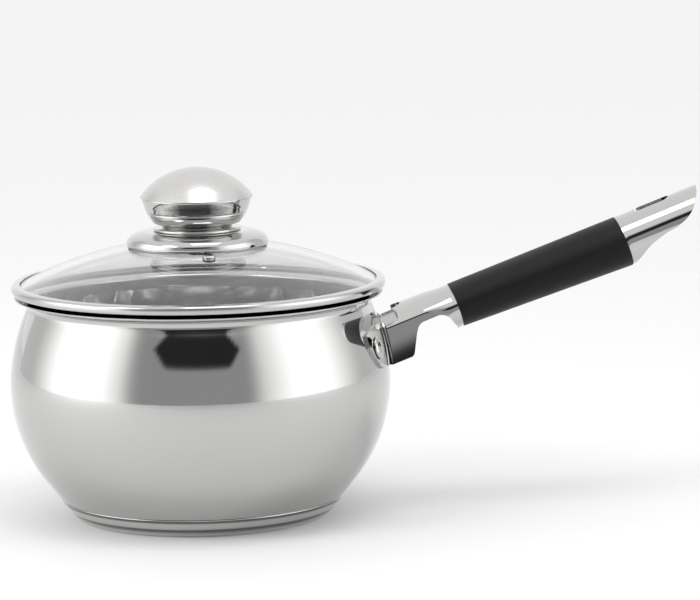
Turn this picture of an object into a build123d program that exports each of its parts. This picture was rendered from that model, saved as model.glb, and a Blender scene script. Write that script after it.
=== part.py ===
"""Saucepan with a riveted long handle and a knobbed glass lid.

Frame: origin at the centre of the resting face, +Z up through the pan's axis,
the handle points along +X. Millimetres.
"""
from build123d import *
import os
from math import atan2, cos, radians, sin, sqrt, tan

os.makedirs("parts", exist_ok=True)

# ---------------------------------------------------------------- driving dimensions
# Pan
PAN_SHEET = 0.8  # drawn stainless sheet
RIM_RADIUS = 85.0  # outer edge of the pouring rim
RIM_BEND = 3.2  # outside radius of the bend from neck to rim
RIM_SLOPE = 15.0  # degrees above horizontal, at the pouring edge
FLOOR_RADIUS = 58.0  # flat part of the floor
FLOOR_HEIGHT = 5.8  # underside of the floor
TOE_BEND = 11.0  # outside radius between floor and side
TOE_SLOPE = 51.8  # degrees above horizontal, where the side starts
BELLY_CENTRE = (17.4, 61.3)  # radius and height of the belly's centre of curvature
BELLY_CURVE = 70.45
BELLY_TOP = 12.9  # degrees above the belly's centre, where the shoulder takes over
SHOULDER_CENTRE = (-27.8, 51.0)
SHOULDER_CURVE = 116.84
NECK_ANGLE = 23.3  # degrees above the shoulder's centre

# Base
CAP_SHEET = 0.6
CAP_RADIUS = 59.0
CAP_EDGE = (65.8, 8.3)  # top edge of the capsule's sloping side
CAP_BEND = 1.5

# Handle: distances along the crown line and below it
HANDLE_SHEET = 1.2
HANDLE_RISE = 20.15  # degrees above horizontal
CROWN_START = (86.0, 91.4)
EAR_HALF_WIDTH = 16.0  # of the arched web, before the side walls
EAR_TAPER = 1.2  # how much narrower the web is where the sheet starts to roll
EAR_SHOULDER = 4.4  # drop of the arch at the web's edges
EAR_END = 16.0
EAR_MIDDLE = 15.0
EAR_LEAN_MIDDLE = 2.4  # how far a side wall leans out by the middle
EAR_LEAN_FOOT = 5.6  # and by the floor
EAR_FLOOR = 27.0  # below the trimmed edge, so that the ears are open underneath
EAR_DEPTH = 21.3
SLEEVE_START = 31.0
SLEEVE_END = 116.0
TIP = 156.0
SLIT_HALF_WIDTH = 5.0
SLOT_LENGTH = 18.0  # hanging slot
SLOT_WIDTH = 8.0
SLOT_CENTRE = 133.0
SCOOP = [(123.8, -15.4), (134, -12.1), (141, -11.0), (149, -7.3), (153, -2.8)]  # tail's lower edge
WEB_START = 3.5
WEB_NOTCH = 4.5
TAB_ANGLES = (10.2, 29.5)  # from the handle's middle plane, round the pan
TAB_SKIN = [(89.0, 65.3), (87.3, 77.3), (82.4, 93.3)]  # radius and height, one sheet out from the pan
RIVET_ANGLE = 23.0
RIVET_HEIGHT = 79.3
RIVET_FOOT = 85.55  # radius of the pan's outside at the rivet
RIVET_TILT = 14.0  # the wall leans in above the belly
RIVET_SHANK = 2.5
RIVET_HEAD = 5.3
RIVET_HEAD_HEIGHT = 1.7

# Lid
GLASS_RADIUS = 183.1  # of the dome's outer face
GLASS_CENTRE = -55.4  # height of the dome's centre
GLASS_THICKNESS = 3.2
GLASS_EDGE = 84.0
GLASS_HOLE = 4.0
BAND_SHEET = 0.6
BAND_RADIUS = 86.2
BAND_TOP = 109.0
LIP_RADIUS = 77.3  # locating lip that drops into the mouth
LIP_BOTTOM = 95.5
VENT_ANGLE = -84.5
VENT_OFFSET = 36.0
VENT_HOLE = 2.2
VENT_BORE = 1.5
VENT_FLANGE = 3.0
VENT_SHEET = 0.7

# Knob
KNOB_SHEET = 0.6
KNOB_RADIUS = 26.1
KNOB_RIM_HEIGHT = 147.5
KNOB_TOP = 160.9
CUP_FLOOR = 133.4
CUP_FLOOR_RADIUS = 16.0
CUP_WAIST = (20.6, 136.3)  # where the cup's cone meets its side
CUP_SIDE = (23.35, 141.2)
CUP_EDGE = (25.4, 146.5)
SKIRT_RADIUS = 32.4
SKIRT_EDGE = 125.2
SKIRT_TOP = 132.0  # the collar's seat
SKIRT_SEAT = 22.0
SKIRT_BROW = (30.2, 130.2)  # where the top turns down into the side
COLLAR_RADIUS = 20.2
SCREW_SHANK = 2.4
SCREW_HEAD = 4.6
INSERT_RADIUS = 9.0
INSERT_TOP = 144.0
WASHER_RADIUS = 8.5
GASKET_RADIUS = 9.5


# ---------------------------------------------------------------- shared shapes
def dome_height(radius, sphere):
    """Height of a sphere about the glass dome's centre, at this distance from the axis."""
    return GLASS_CENTRE + sqrt(sphere**2 - radius**2)


def arc_points(centre, radius, first, last, spans):
    """Points on an arc, evenly spaced; angles in degrees."""
    angles = [radians(first + (last - first) * step / spans) for step in range(spans + 1)]
    return [(centre[0] + radius * cos(angle), centre[1] + radius * sin(angle)) for angle in angles]


def pan_outline(inset):
    """Face of the pan's sheet from the floor's centre to the rim's edge; inset 0 is the outside."""
    belly_points = arc_points(BELLY_CENTRE, BELLY_CURVE - inset, TOE_SLOPE - 90, BELLY_TOP, 4)
    shoulder_points = arc_points(SHOULDER_CENTRE, SHOULDER_CURVE - inset, BELLY_TOP, NECK_ANGLE, 2)
    neck_slope = radians(NECK_ANGLE + 90)
    with BuildLine() as line:
        floor = Line((0, FLOOR_HEIGHT + inset), (FLOOR_RADIUS, FLOOR_HEIGHT + inset))
        toe = JernArc(floor @ 1, tangent=floor % 1, radius=TOE_BEND - inset, arc_size=TOE_SLOPE)
        side = Line(toe @ 1, belly_points[0])
        neck_tangent = (cos(neck_slope), sin(neck_slope))
        belly = Spline(*belly_points, *shoulder_points[1:], tangents=(side % 1, neck_tangent))
        turn = RIM_SLOPE - NECK_ANGLE - 90
        bend = JernArc(belly @ 1, tangent=neck_tangent, radius=RIM_BEND + inset, arc_size=turn)
        edge = RIM_RADIUS - inset * sin(radians(RIM_SLOPE))
        rise = (edge - (bend @ 1).X) * tan(radians(RIM_SLOPE))
        Line(bend @ 1, (edge, (bend @ 1).Y + rise))
    return line.line


def filled_pan(outline, top):
    """Solid that fills an outline of the pan, closed level with a point on its rim."""
    with BuildPart() as solid:
        with BuildSketch(Plane.XZ):
            with BuildLine():
                add(outline)
                if (top - outline @ 1).length > 0:
                    Line(outline @ 1, top)
                Polyline(top, (0, top.Y), outline @ 0)
            make_face()
        revolve(axis=Axis.Z)
    return solid.part


def sheet_ring(outline, thickness, side):
    """Solid of revolution of a sheet that lies on one side of an open outline."""
    with BuildPart() as ring:
        with BuildSketch(Plane.XZ):
            with BuildLine():
                add(outline)
                offset(amount=thickness, side=side, closed=True)
            make_face()
        revolve(axis=Axis.Z)
    return ring.part


def washer(outer, inner, bottom, top):
    """Flat ring about the lid's axis."""
    with BuildPart() as ring:
        with BuildSketch(Plane.XY.offset(bottom)):
            Circle(outer)
            Circle(inner, mode=Mode.SUBTRACT)
        extrude(amount=top - bottom)
    return ring.part


def crown_plane(along):
    """Plane across the handle: +X of the plane is the object's +Y, +Y is square to the crown."""
    rise = radians(HANDLE_RISE)
    forward = Vector(cos(rise), 0, sin(rise))
    origin = Vector(CROWN_START[0], 0, CROWN_START[1]) + forward * along
    return Plane(origin=origin, x_dir=(0, 1, 0), z_dir=forward)


def crown_side_plane():
    """The handle's middle plane: +X runs along the crown line, +Y is square to it, upwards."""
    rise = radians(HANDLE_RISE)
    return Plane(
        origin=(CROWN_START[0], 0, CROWN_START[1]),
        x_dir=(cos(rise), 0, sin(rise)),
        z_dir=(0, -1, 0),
    )


def crown_top_plane():
    """Plane that touches the crown line: +X runs along it and the normal points up."""
    rise = radians(HANDLE_RISE)
    return Plane(
        origin=(CROWN_START[0], 0, CROWN_START[1]),
        x_dir=(cos(rise), 0, sin(rise)),
        z_dir=(-sin(rise), 0, cos(rise)),
    )


def cap_outline():
    """Outside of the capsule under the base, from the centre to the top of its sloping side."""
    with BuildLine() as line:
        FilletPolyline((0, 0), (CAP_RADIUS, 0), CAP_EDGE, radius=CAP_BEND)
    return line.line


OUTLINE = pan_outline(0)
INNER_OUTLINE = pan_outline(PAN_SHEET)
CAP_OUTLINE = cap_outline()
pan_fill = filled_pan(OUTLINE, INNER_OUTLINE @ 1)

# ---------------------------------------------------------------- pan
def rivet_plane(angle):
    """Plane that touches the pan at a rivet, with its normal pointing out."""
    around = radians(angle)
    tilt = radians(RIVET_TILT)
    out = Vector(cos(around) * cos(tilt), sin(around) * cos(tilt), sin(tilt))
    foot = Vector(RIVET_FOOT * cos(around), RIVET_FOOT * sin(around), RIVET_HEIGHT)
    return Plane(origin=foot, z_dir=out)


with BuildPart() as pan_shell:
    add(pan_fill)
    add(filled_pan(INNER_OUTLINE, INNER_OUTLINE @ 1), mode=Mode.SUBTRACT)
    for side in (-1, 1):
        with BuildSketch(rivet_plane(side * RIVET_ANGLE)):
            Circle(RIVET_SHANK)
        extrude(amount=6, both=True, mode=Mode.SUBTRACT)
pan_shell.part.label = "pan_shell"
export_step(pan_shell.part, "parts/pan_shell.step")

# ---------------------------------------------------------------- base
# Aluminium disc, pressed into the wedge between the floor's bend and the capsule
with BuildPart() as base_core:
    with BuildSketch(Plane.XZ):
        with BuildLine():
            edge, top = CAP_EDGE
            wall = CAP_SHEET / sin(atan2(top, edge - CAP_RADIUS))
            Polyline(
                (0, CAP_SHEET),
                (CAP_RADIUS - 0.3, CAP_SHEET),
                (edge - wall, top),
                (0, top),
                (0, CAP_SHEET),
            )
        make_face()
    revolve(axis=Axis.Z)
    add(pan_fill, mode=Mode.SUBTRACT)
    add(sheet_ring(CAP_OUTLINE, CAP_SHEET, Side.LEFT), mode=Mode.SUBTRACT)
base_core.part.label = "base_core"
export_step(base_core.part, "parts/base_core.step")

with BuildPart() as base_cap:
    add(sheet_ring(CAP_OUTLINE, CAP_SHEET, Side.LEFT))
    add(pan_fill, mode=Mode.SUBTRACT)
base_cap.part.label = "base_cap"
export_step(base_cap.part, "parts/base_cap.step")


# ---------------------------------------------------------------- handle
def ear_section(half_width):
    """Arched web between two side walls that lean outwards."""
    middle = half_width + EAR_LEAN_MIDDLE
    foot = half_width + EAR_LEAN_FOOT
    with BuildLine() as line:
        top = ThreePointArc((-half_width, -EAR_SHOULDER), (0, 0), (half_width, -EAR_SHOULDER))
        right = ThreePointArc(top @ 1, (middle, -EAR_MIDDLE), (foot, -EAR_FLOOR))
        floor = Line(right @ 1, (-foot, -EAR_FLOOR))
        ThreePointArc(floor @ 1, (-middle, -EAR_MIDDLE), top @ 0)
    return line.line


def ear_outline(half_width, inset):
    """Ear section, or the same section moved inwards."""
    outline = ear_section(half_width)
    if inset == 0:
        return outline
    with BuildLine() as line:
        offset(outline, amount=-inset, kind=Kind.INTERSECTION)
    return line.line


def oval_ends(inset):
    """Ovals of the rolled stretch at the sleeve's two ends, moved inwards by the inset."""
    return [
        (SLEEVE_START, oval_section(14.3 - inset, -0.8 - inset, -18.5 + inset)),
        (SLEEVE_END, oval_section(14.0 - inset, -0.3 - inset, -21.3 + inset)),
    ]


def oval_section(half_width, crown, bottom):
    """Oval of four arcs that meet almost smoothly at the same share of each half axis."""
    middle = (crown + bottom) / 2
    half_height = (crown - bottom) / 2
    across = 0.743 * half_width
    up = 0.681 * half_height
    with BuildLine() as line:
        top = ThreePointArc((-across, middle + up), (0, crown), (across, middle + up))
        right = ThreePointArc(top @ 1, (half_width, middle), (across, middle - up))
        floor = ThreePointArc(right @ 1, (0, bottom), (-across, middle - up))
        ThreePointArc(floor @ 1, (-half_width, middle), top @ 0)
    return line.line


def loft_sections(sections):
    """Solid through sections, each given with its place along the crown line."""
    with BuildPart() as body:
        for along, outline in sections:
            with BuildSketch(crown_plane(along)):
                with BuildLine():
                    add(outline)
                make_face()
        loft(ruled=True)
    return body.part


def handle_body(inset):
    """Filled handle, from the ears to the tip; inset moves every face inwards."""
    ear_back = ear_outline(EAR_HALF_WIDTH, inset)
    ear_front = ear_outline(EAR_HALF_WIDTH - EAR_TAPER, inset)
    tip = oval_section(13.5 - inset, 0.1 - inset, -20.8 + inset)
    return loft_sections(
        [(-14 - inset, ear_back), (EAR_END, ear_front), *oval_ends(inset), (TIP + 2 + inset, tip)]
    )


def handle_side_outline():
    """Side view of the trimmed sheet: ear, scallop, sleeve's stretch and scooped tail."""
    with BuildLine() as line:
        ear = Polyline((TIP, 4), (-14, 4), (-14, -EAR_DEPTH), (4.4, -EAR_DEPTH), (10.0, -11.3))
        root = ThreePointArc(ear @ 1, (11.4, -9.4), (14.6, -8.6))
        flange = Line(root @ 1, (21.3, -8.6))
        flare = ThreePointArc(flange @ 1, (24.7, -10.8), (26.5, -15.9))
        under = Polyline(flare @ 1, (30.5, -20.5), (30.5, -26), (SLEEVE_END, -26), (SLEEVE_END, -21.6))
        scoop = Spline(under @ 1, *SCOOP, (TIP, 0.3))
        Line(scoop @ 1, ear @ 0)
    return line.line


def mounting_tab(side):
    """Tab bent out from an ear, lying on the pan's outside."""
    first, last = TAB_ANGLES
    middle = radians(side * (first + last) / 2)
    half = RIVET_FOOT * sin(radians((last - first) / 2))
    outline_plane = Plane(
        origin=(0, 0, 0), x_dir=(-sin(middle), cos(middle), 0), z_dir=(cos(middle), sin(middle), 0)
    )
    with BuildPart() as tab:
        with BuildSketch(Plane.XZ):
            with BuildLine():
                skin = ThreePointArc(*TAB_SKIN)
                Polyline(skin @ 1, (FLOOR_RADIUS, (skin @ 1).Y), (FLOOR_RADIUS, (skin @ 0).Y), skin @ 0)
            make_face()
        revolve(axis=Axis.Z)
        with BuildSketch(outline_plane):
            with BuildLine():
                inner = -side * half
                Polyline(
                    (inner, 68.7),
                    (side * (half - 13), 69.0),
                    (side * (half - 3.5), 75.5),
                    (side * half, 80.0),
                    (side * half, 88.5),
                    (side * (half - 3.5), 90.4),
                    (inner, 91.2),
                    (inner, 68.7),
                )
            make_face()
        extrude(amount=120, mode=Mode.INTERSECT)
    return tab.part


with BuildPart() as handle_channel:
    add(handle_body(0))
    add(handle_body(HANDLE_SHEET), mode=Mode.SUBTRACT)
    with BuildSketch(crown_side_plane()):
        with BuildLine():
            add(handle_side_outline())
        make_face()
    extrude(amount=30, both=True, mode=Mode.INTERSECT)
    # slit along the rolled-under bottom
    with BuildSketch(crown_top_plane().offset(-30)):
        with Locations(((SLEEVE_START + TIP) / 2, 0)):
            Rectangle(TIP - SLEEVE_START + 20, 2 * SLIT_HALF_WIDTH)
    extrude(amount=20, mode=Mode.SUBTRACT)
    # hanging slot through the crown
    with BuildSketch(crown_top_plane()):
        with Locations((SLOT_CENTRE, 0)):
            SlotOverall(SLOT_LENGTH, SLOT_WIDTH)
    extrude(amount=4, both=True, mode=Mode.SUBTRACT)
    # the web stops short of the pan, with a round notch in its end
    with BuildSketch(crown_top_plane()):
        with Locations((WEB_START - 12, 0)):
            Rectangle(24, 2 * (EAR_HALF_WIDTH - HANDLE_SHEET - 1))
        with Locations((WEB_START, 0)):
            Circle(WEB_NOTCH)
    extrude(amount=7, both=True, mode=Mode.SUBTRACT)
    for side in (-1, 1):
        add(mounting_tab(side))
    add(pan_fill, mode=Mode.SUBTRACT)
    for side in (-1, 1):
        with BuildSketch(rivet_plane(side * RIVET_ANGLE)):
            Circle(RIVET_SHANK)
        extrude(amount=6, both=True, mode=Mode.SUBTRACT)
handle_channel.part.label = "handle_channel"
export_step(handle_channel.part, "parts/handle_channel.step")

# Sleeve, moulded to the rolled sheet that it covers
with BuildPart() as grip_sleeve:
    add(
        loft_sections(
            [
                (SLEEVE_START, oval_section(15.6, 0.6, -20.0)),
                (SLEEVE_END, oval_section(15.4, 1.0, -22.8)),
            ]
        )
    )
    add(loft_sections(oval_ends(0)), mode=Mode.SUBTRACT)
grip_sleeve.part.label = "grip_sleeve"
export_step(grip_sleeve.part, "parts/grip_sleeve.step")


def rivet(side):
    """Domed head on the tab, shank through tab and pan, flattened head inside the pan."""
    inner = -PAN_SHEET - 0.25
    seat = HANDLE_SHEET + 0.15
    with BuildPart() as body:
        with BuildSketch(Plane.XZ):
            with BuildLine():
                foot = Polyline((0, inner - 1.0), (RIVET_HEAD - 1.6, inner - 1.0), (RIVET_HEAD - 1.0, inner))
                shank = Polyline(foot @ 1, (RIVET_SHANK, inner), (RIVET_SHANK, seat), (RIVET_HEAD, seat))
                edge = Line(shank @ 1, (RIVET_HEAD, seat + 0.4))
                Bezier(
                    edge @ 1,
                    (RIVET_HEAD - 0.6, seat + RIVET_HEAD_HEIGHT),
                    (0, seat + RIVET_HEAD_HEIGHT),
                )
                Line((0, seat + RIVET_HEAD_HEIGHT), foot @ 0)
            make_face()
        revolve(axis=Axis.Z)
    return rivet_plane(side * RIVET_ANGLE) * body.part


for rivet_name, side in (("rivet_front", -1), ("rivet_rear", 1)):
    body = rivet(side)
    body.label = rivet_name
    export_step(body, f"parts/{rivet_name}.step")


# ---------------------------------------------------------------- lid
def vent_plane(sphere):
    """Plane square to the glass at the steam vent, at this radius from the dome's centre."""
    around = radians(VENT_ANGLE)
    lean = VENT_OFFSET / GLASS_RADIUS
    out = Vector(lean * cos(around), lean * sin(around), sqrt(1 - lean**2))
    return Plane(origin=Vector(0, 0, GLASS_CENTRE) + out * sphere, z_dir=out)


INNER_GLASS_RADIUS = GLASS_RADIUS - GLASS_THICKNESS

with BuildPart() as lid_glass:
    with BuildSketch(Plane.XZ):
        with BuildLine():
            edge_scale = INNER_GLASS_RADIUS / GLASS_RADIUS
            inner_edge = GLASS_EDGE * edge_scale
            outer = ThreePointArc(
                (GLASS_HOLE, dome_height(GLASS_HOLE, GLASS_RADIUS)),
                (GLASS_EDGE / 2, dome_height(GLASS_EDGE / 2, GLASS_RADIUS)),
                (GLASS_EDGE, dome_height(GLASS_EDGE, GLASS_RADIUS)),
            )
            edge = Line(outer @ 1, (inner_edge, dome_height(inner_edge, INNER_GLASS_RADIUS)))
            inner = ThreePointArc(
                edge @ 1,
                (GLASS_EDGE / 2, dome_height(GLASS_EDGE / 2, INNER_GLASS_RADIUS)),
                (GLASS_HOLE, dome_height(GLASS_HOLE, INNER_GLASS_RADIUS)),
            )
            Line(inner @ 1, outer @ 0)
        make_face()
    revolve(axis=Axis.Z)
    with BuildSketch(vent_plane(GLASS_RADIUS)):
        Circle(VENT_HOLE)
    extrude(amount=3 * GLASS_THICKNESS, both=True, mode=Mode.SUBTRACT)
lid_glass.part.label = "lid_glass"
export_step(lid_glass.part, "parts/lid_glass.step")


# One strip rolled round the glass, ending in the lip that drops into the mouth
with BuildLine() as band_line:
    FilletPolyline(
        (BAND_RADIUS - 4.0, BAND_TOP),
        (BAND_RADIUS, BAND_TOP - 0.2),
        (BAND_RADIUS, BAND_TOP - 3.6),
        (BAND_RADIUS - 3.6, BAND_TOP - 5.6),
        (BAND_RADIUS - 5.6, BAND_TOP - 6.0),
        (LIP_RADIUS, BAND_TOP - 7.8),
        (LIP_RADIUS, LIP_BOTTOM),
        radius=[1.6, 1.5, 1.5, 1.5, 1.5],
    )
with BuildPart() as lid_band:
    add(sheet_ring(band_line.line, BAND_SHEET, Side.RIGHT))
lid_band.part.label = "lid_band"
export_step(lid_band.part, "parts/lid_band.step")

# Grommet with a flange on each face of the glass
with BuildPart() as vent_eyelet:
    with BuildSketch(vent_plane(INNER_GLASS_RADIUS - VENT_SHEET - 0.1)):
        Circle(VENT_FLANGE)
    extrude(amount=VENT_SHEET)
    with BuildSketch(vent_plane(INNER_GLASS_RADIUS - VENT_SHEET)):
        Circle(VENT_HOLE)
    extrude(amount=GLASS_THICKNESS + VENT_SHEET)
    with BuildSketch(vent_plane(GLASS_RADIUS)):
        Circle(VENT_FLANGE)
    extrude(amount=VENT_SHEET)
    fillet(edges().filter_by(GeomType.CIRCLE).group_by(Axis.Z)[-1], radius=0.3)
    with BuildSketch(vent_plane(GLASS_RADIUS)):
        Circle(VENT_BORE)
    extrude(amount=3 * GLASS_THICKNESS, both=True, mode=Mode.SUBTRACT)
vent_eyelet.part.label = "vent_eyelet"
export_step(vent_eyelet.part, "parts/vent_eyelet.step")

# ---------------------------------------------------------------- knob
# Domed rose under the knob, flat where the collar sits
with BuildLine() as skirt_line:
    seat = Line((SCREW_SHANK + 0.1, SKIRT_TOP), (SKIRT_SEAT, SKIRT_TOP))
    brow = TangentArc(seat @ 1, SKIRT_BROW, tangent=seat % 1)
    TangentArc(brow @ 1, (SKIRT_RADIUS, SKIRT_EDGE), tangent=brow % 1)
with BuildPart() as knob_skirt:
    add(sheet_ring(skirt_line.line, KNOB_SHEET, Side.RIGHT))
knob_skirt.part.label = "knob_skirt"
export_step(knob_skirt.part, "parts/knob_skirt.step")

# Turned ring between the rose and the knob
with BuildPart() as knob_collar:
    add(washer(COLLAR_RADIUS, SCREW_SHANK + 0.1, SKIRT_TOP, CUP_FLOOR))
    fillet(edges().filter_by(GeomType.CIRCLE).sort_by(SortBy.RADIUS)[-2:], radius=0.6)
knob_collar.part.label = "knob_collar"
export_step(knob_collar.part, "parts/knob_collar.step")

# Lower half of the hollow knob
with BuildLine() as cup_line:
    floor_start = (SCREW_SHANK + 0.1, CUP_FLOOR)
    cone = FilletPolyline(floor_start, (CUP_FLOOR_RADIUS, CUP_FLOOR), CUP_WAIST, radius=1.0)
    ThreePointArc(cone @ 1, CUP_SIDE, CUP_EDGE)
with BuildPart() as knob_cup:
    add(sheet_ring(cup_line.line, KNOB_SHEET, Side.LEFT))
knob_cup.part.label = "knob_cup"
export_step(knob_cup.part, "parts/knob_cup.step")

# Domed upper half; its edge is folded in over the cup
CAP_SPHERE = ((KNOB_TOP - KNOB_RIM_HEIGHT) ** 2 + KNOB_RADIUS**2) / (2 * (KNOB_TOP - KNOB_RIM_HEIGHT))
with BuildLine() as knob_cap_line:
    half_way = KNOB_RADIUS / 2
    ThreePointArc(
        (0, KNOB_TOP),
        (half_way, KNOB_TOP - CAP_SPHERE + sqrt(CAP_SPHERE**2 - half_way**2)),
        (KNOB_RADIUS, KNOB_RIM_HEIGHT),
    )
with BuildPart() as knob_cap:
    add(sheet_ring(knob_cap_line.line, KNOB_SHEET, Side.RIGHT))
knob_cap.part.label = "knob_cap"
export_step(knob_cap.part, "parts/knob_cap.step")

# Threaded plug that the screw pulls down on the cup's floor
with BuildPart() as knob_insert:
    with BuildSketch(Plane.XY.offset(CUP_FLOOR + KNOB_SHEET)):
        Circle(INSERT_RADIUS)
    extrude(amount=INSERT_TOP - CUP_FLOOR - KNOB_SHEET)
    chamfer(edges().group_by(Axis.Z)[-1], length=1)
    with BuildSketch(Plane.XY.offset(CUP_FLOOR + KNOB_SHEET)):
        Circle(SCREW_SHANK)
    extrude(amount=INSERT_TOP - CUP_FLOOR - KNOB_SHEET - 2, mode=Mode.SUBTRACT)
knob_insert.part.label = "knob_insert"
export_step(knob_insert.part, "parts/knob_insert.step")

# Soft washers either side of the glass, steel washer and screw below
APEX = GLASS_CENTRE + GLASS_RADIUS
UNDER_TOP = dome_height(GASKET_RADIUS, INNER_GLASS_RADIUS)
UNDER_BOTTOM = UNDER_TOP - 1.2
WASHER_BOTTOM = UNDER_BOTTOM - 1.0

gasket_top = washer(GASKET_RADIUS, SCREW_SHANK + 0.2, APEX, SKIRT_TOP - KNOB_SHEET)
gasket_top.label = "gasket_top"
export_step(gasket_top, "parts/gasket_top.step")

gasket_under = washer(GASKET_RADIUS, SCREW_SHANK + 0.2, UNDER_BOTTOM, UNDER_TOP)
gasket_under.label = "gasket_under"
export_step(gasket_under, "parts/gasket_under.step")

screw_washer = washer(WASHER_RADIUS, SCREW_SHANK + 0.1, WASHER_BOTTOM, UNDER_BOTTOM)
screw_washer.label = "screw_washer"
export_step(screw_washer, "parts/screw_washer.step")

with BuildPart() as knob_screw:
    with BuildSketch(Plane.XY.offset(WASHER_BOTTOM)):
        Circle(SCREW_SHANK)
    extrude(amount=INSERT_TOP - 3.5 - WASHER_BOTTOM)
    with BuildSketch(Plane.XY.offset(WASHER_BOTTOM)):
        Circle(SCREW_HEAD)
    extrude(amount=-2.6)
    fillet(edges().group_by(Axis.Z)[0], radius=1.4)
    # cross recess
    with BuildSketch(Plane.XY.offset(WASHER_BOTTOM - 2.6)):
        Rectangle(4.6, 1.0)
        Rectangle(1.0, 4.6)
    extrude(amount=1.5, mode=Mode.SUBTRACT)
knob_screw.part.label = "knob_screw"
export_step(knob_screw.part, "parts/knob_screw.step")
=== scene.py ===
"""Looks of a belly-shaped saucepan with a riveted handle and a domed glass lid.

The pan's axis is Z, the handle points along +X, and the object stands on z = 0.
Outlines are in millimetres and become metres when a mesh is made.
"""

import bmesh
import bpy
from math import acos, asin, atan2, cos, degrees, pi, radians, sin, sqrt, tan
from mathutils import Matrix, Vector


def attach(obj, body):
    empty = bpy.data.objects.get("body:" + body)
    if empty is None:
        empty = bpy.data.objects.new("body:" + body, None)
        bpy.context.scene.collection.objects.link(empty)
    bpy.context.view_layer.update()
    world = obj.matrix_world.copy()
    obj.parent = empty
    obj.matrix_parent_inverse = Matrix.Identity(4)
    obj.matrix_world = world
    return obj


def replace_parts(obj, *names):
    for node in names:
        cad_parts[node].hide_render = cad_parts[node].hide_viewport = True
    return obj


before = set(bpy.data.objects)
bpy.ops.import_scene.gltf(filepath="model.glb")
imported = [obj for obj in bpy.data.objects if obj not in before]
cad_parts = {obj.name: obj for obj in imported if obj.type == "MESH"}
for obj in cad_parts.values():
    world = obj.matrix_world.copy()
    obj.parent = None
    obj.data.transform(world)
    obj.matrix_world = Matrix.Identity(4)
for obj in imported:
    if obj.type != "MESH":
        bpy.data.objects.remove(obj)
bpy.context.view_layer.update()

MM = 0.001
LATHE_STEPS = 288
ROUND_STEPS = 384  # for the largest turned pieces
SHARP_ANGLE = 32
SAME_POINT = 1e-3

# ---------------------------------------------------------------- sizes
PAN_SHEET = 0.8
RIM_RADIUS = 85.0
RIM_BEND = 3.2
RIM_SLOPE = 15.0
FLOOR_RADIUS = 58.0
FLOOR_HEIGHT = 5.8
TOE_BEND = 11.0
TOE_SLOPE = 51.8
BELLY_CENTRE = (17.4, 61.3)
BELLY_CURVE = 70.45
BELLY_TOP = 12.9
SHOULDER_CENTRE = (-27.8, 51.0)
SHOULDER_CURVE = 116.84
NECK_ANGLE = 23.3

CAP_SHEET = 0.6
CAP_RADIUS = 59.0
CAP_EDGE = (65.8, 8.3)
CAP_BEND = 1.5
CORE_GAP = 0.3
CORE_LIP = (64.2, 64.9)  # ring of the core that shows in the groove over the capsule
CORE_TOP = CAP_EDGE[1] + 0.25

GLASS_CURVE = 183.1
GLASS_CENTRE = -55.4
GLASS_THICKNESS = 3.2
GLASS_EDGE = 84.0
GLASS_HOLE = 4.0
BAND_SHEET = 0.6
BAND_RADIUS = 86.2
BAND_TOP = 109.0
LIP_RADIUS = 77.3
LIP_BOTTOM = 95.5

KNOB_SHEET = 0.6
KNOB_RADIUS = 26.1
KNOB_RIM_HEIGHT = 147.5
KNOB_TOP = 160.9
CUP_FLOOR = 133.4
CUP_FLOOR_RADIUS = 16.0
CUP_WAIST = (20.6, 136.3)
CUP_EDGE = (25.4, 146.9)
CUP_NECK = (16.4, 134.4)
CUP_SHOULDER = (20.1, 135.7)
CUP_GROOVE = (23.0, 140.0)
CUP_BEAD = ((22.9, 140.5), (23.6, 141.2), (24.2, 143.2))  # small step above the groove
CUP_WAIST_WAY = (0.9, 1)
CUP_BEAD_WAY = (0.36, 1)
SKIRT_RADIUS = 32.4
SKIRT_EDGE = 125.2
SKIRT_TOP = 132.0
SKIRT_SEAT = 22.0
SKIRT_BROW = (30.2, 130.2)
COLLAR_RADIUS = 20.2
SCREW_HOLE = 2.5

HANDLE_RISE = radians(20.15)
CROWN_START = (86.0, 91.4)
SLEEVE_START = 31.0
SLEEVE_END = 116.0
SLEEVE_BEND = 1.3
SLEEVE_WALL = 2.2


# ---------------------------------------------------------------- outlines
def arc(centre, radius, first, last, spans=16):
    """Points on an arc; angles in degrees."""
    angles = [radians(first + (last - first) * step / spans) for step in range(spans + 1)]
    return [(centre[0] + radius * cos(angle), centre[1] + radius * sin(angle)) for angle in angles]


def rounded(corners, radii, spans=8):
    """Polyline with an arc of the given radius at each inner corner."""
    points = [corners[0]]
    for before, corner, after, radius in zip(corners, corners[1:], corners[2:], radii):
        here = Vector(corner)
        back = (Vector(before) - here).normalized()
        ahead = (Vector(after) - here).normalized()
        half = back.angle(ahead) / 2
        middle = here + (back + ahead).normalized() * radius / sin(half)
        start = here + back * radius / tan(half) - middle
        end = here + ahead * radius / tan(half) - middle
        turn = start.angle_signed(end)
        for step in range(spans + 1):
            spoke = start.copy()
            spoke.rotate(Matrix.Rotation(-turn * step / spans, 2))
            points.append(tuple(middle + spoke))
    return points + [corners[-1]]


def beside(line, distance):
    """The same line moved sideways, to the left of its direction."""
    moved = []
    for place, point in enumerate(line):
        here = Vector(point)
        ways = []
        if place > 0:
            ways.append((here - Vector(line[place - 1])).normalized())
        if place < len(line) - 1:
            ways.append((Vector(line[place + 1]) - here).normalized())
        along = sum(ways, Vector((0, 0))).normalized()
        side = Vector((-along.y, along.x))
        moved.append(tuple(here + side * distance / along.dot(ways[0])))
    return moved


def soft_step(value, edge, width):
    """Rises smoothly from 0 to 1 across an edge."""
    share = min(max((value - edge) / width + 0.5, 0), 1)
    return share * share * (3 - 2 * share)


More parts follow.
